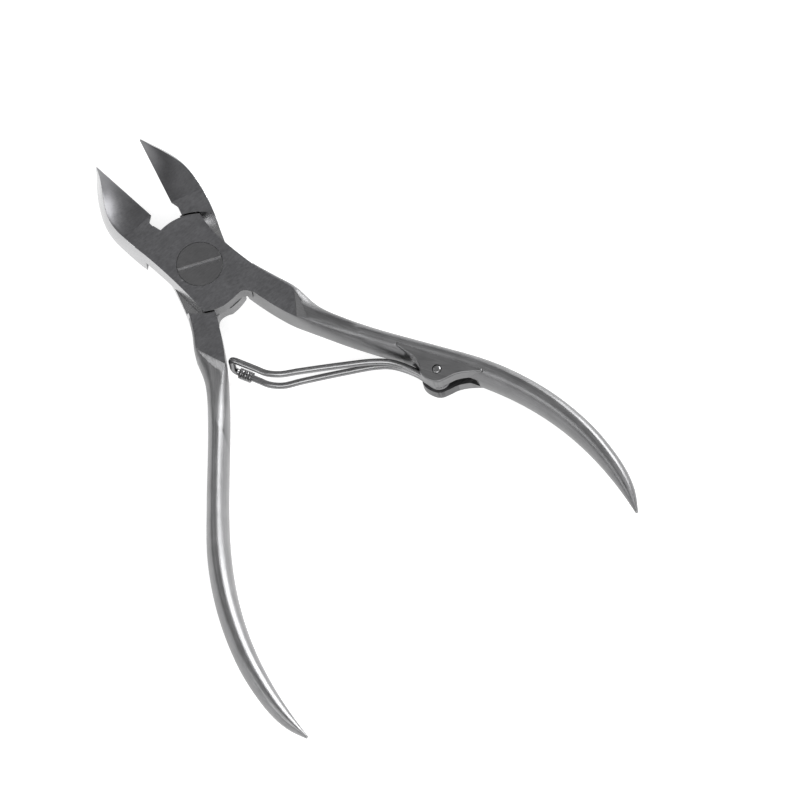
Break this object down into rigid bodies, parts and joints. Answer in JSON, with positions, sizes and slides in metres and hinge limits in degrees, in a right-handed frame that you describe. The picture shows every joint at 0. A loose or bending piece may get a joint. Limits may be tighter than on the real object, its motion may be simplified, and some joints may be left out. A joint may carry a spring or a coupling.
{
  "type": "plier-type nail nipper",
  "caption": "Nail nipper with a slotted lap-joint screw, curved jaws, bowed handles and a wire return spring on a pin.",
  "frame": {"origin": "on the pivot axis, at the back face of the lap joint, where the joint screw's end is flush", "axes": "+Y from the pivot towards the jaw tips, +Z out of the face with the screw head, +X towards the handle that carries the spring"},
  "size_m": [0.0842, 0.1217, 0.0097],
  "materials": {
    "satin_steel": "satin",
    "ground_steel": "fine ground",
    "spring_wire": "polished"
  },
  "bodies": {
    "front": {"front_half": "satin_steel", "spring_pin": "spring_wire"},
    "back": {"back_half": "satin_steel", "joint_screw": "ground_steel"},
    "spring": {"wire_spring": "spring_wire", "spring_sleeve": "spring_wire"}
  },
  "joints": [
    {"name": "jaw_pivot", "type": "hinge", "parent": "front", "child": "back", "pos_m": [0, 0, 0], "axis": [0, 0, 1], "range_deg": [0, 18.2], "stiffness_Nm_per_rad": 0.8, "springref_deg": -17.19, "deforming": ["wire_spring"]},
    {"name": "spring_pivot", "type": "hinge", "parent": "front", "child": "spring", "pos_m": [0.0242, -0.0456, 0.00345], "axis": [0, 0, 1], "range_deg": [-14.6, 0]}
  ],
  "couplings": [
    {"joint": "spring_pivot", "follows": "jaw_pivot", "ratio": -0.8}
  ]
}
